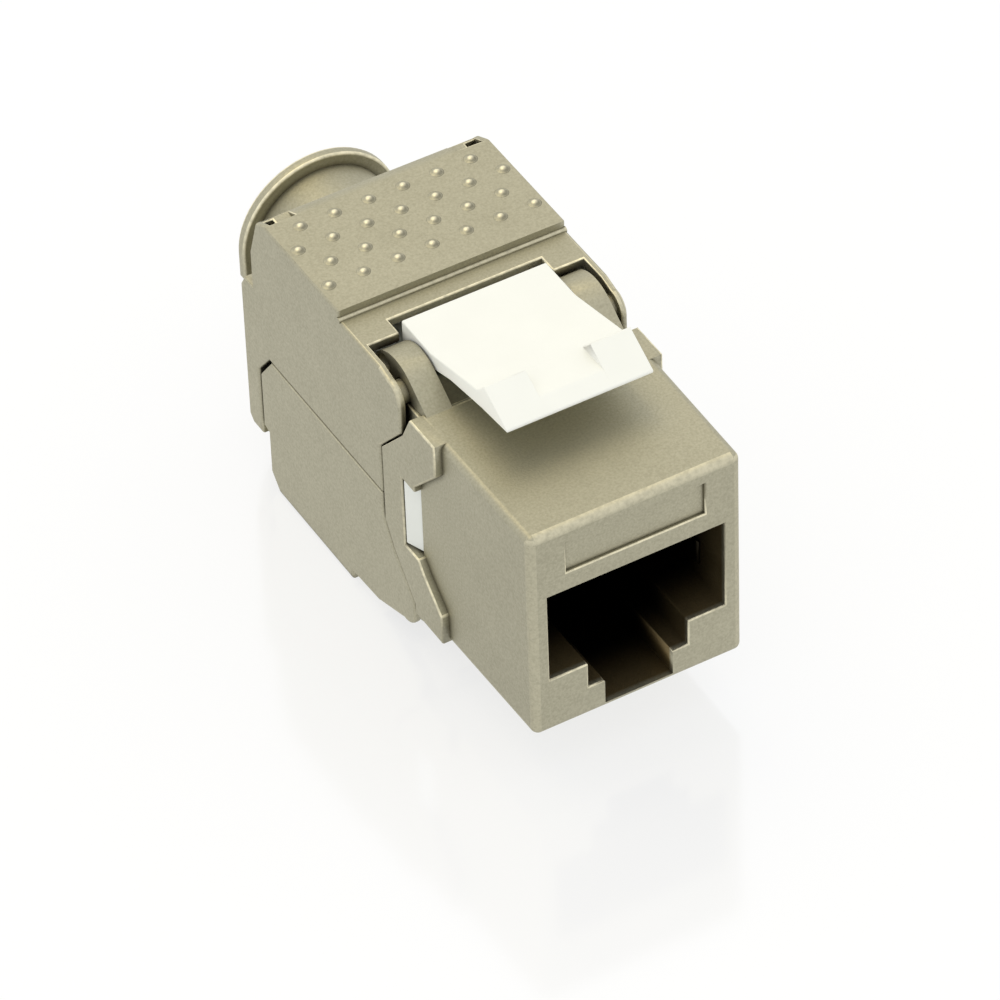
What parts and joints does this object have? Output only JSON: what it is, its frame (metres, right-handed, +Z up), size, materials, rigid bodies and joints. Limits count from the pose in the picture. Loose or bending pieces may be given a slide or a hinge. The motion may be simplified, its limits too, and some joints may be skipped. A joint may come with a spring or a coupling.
{
  "type": "keystone jack",
  "caption": "Shielded keystone jack with a die-cast front block and plug socket, a top release latch, two hinged jaws that close over the cable end, and a split cable collar.",
  "frame": {"origin": "middle of the bounding box's base: halfway along the jack, on the middle line, level with the lower jaw's underside", "axes": "+X to the right of someone facing the socket, +Y from the front face to the cable end, +Z up towards the release latch"},
  "size_m": [0.0158, 0.0388, 0.0239],
  "materials": {
    "cast_zinc": "bare satin zinc die-casting, fine sand-blasted grain, brighter on worn edges",
    "latch_plastic": "smooth white moulded plastic",
    "white_plastic": "off-white moulded plastic",
    "carrier_plastic": "black moulded plastic",
    "board": "green lacquered glass-fibre board",
    "contact_gold": "gold-plated phosphor bronze, bright",
    "blade_bronze": "tin-plated phosphor bronze",
    "spring_steel": "nickel-plated spring strip"
  },
  "bodies": {
    "housing": {"front_housing": "cast_zinc", "contact_carrier": "carrier_plastic", "port_contact_1": "contact_gold", "port_contact_2": "contact_gold", "port_contact_3": "contact_gold", "port_contact_4": "contact_gold", "port_contact_5": "contact_gold", "port_contact_6": "contact_gold", "port_contact_7": "contact_gold", "port_contact_8": "contact_gold", "shield_spring_left": "spring_steel", "shield_spring_right": "spring_steel", "circuit_board": "board", "terminal_block": "white_plastic", "terminal_blade_1": "blade_bronze", "terminal_blade_2": "blade_bronze", "terminal_blade_3": "blade_bronze", "terminal_blade_4": "blade_bronze", "terminal_blade_5": "blade_bronze", "terminal_blade_6": "blade_bronze", "terminal_blade_7": "blade_bronze", "terminal_blade_8": "blade_bronze"},
    "upper": {"upper_jaw": "cast_zinc"},
    "lower": {"lower_jaw": "cast_zinc"},
    "latch": {"release_latch": "latch_plastic"},
    "manager": {"wire_manager": "white_plastic"}
  },
  "joints": [
    {"name": "upper_jaw_hinge", "type": "hinge", "parent": "housing", "child": "upper", "pos_m": [0, -0.00422, 0.0196], "axis": [1, 0, 0], "range_deg": [0, 40]},
    {"name": "lower_jaw_hinge", "type": "hinge", "parent": "housing", "child": "lower", "pos_m": [0, -0.00492, 0.0032], "axis": [1, 0, 0], "range_deg": [-40, 0]},
    {"name": "latch_hinge", "type": "hinge", "parent": "housing", "child": "latch", "pos_m": [0, -0.00202, 0.0202], "axis": [1, 0, 0], "range_deg": [0, 8], "stiffness_Nm_per_rad": 0.2},
    {"name": "manager_slide", "type": "slide", "parent": "housing", "child": "manager", "axis": [0, 1, 0], "range_m": [0, 0.004]}
  ],
  "couplings": [
    {"joint": "lower_jaw_hinge", "follows": "upper_jaw_hinge", "ratio": -1},
    {"joint": "manager_slide", "follows": "upper_jaw_hinge", "m_per_rad": 0.0057}
  ]
}
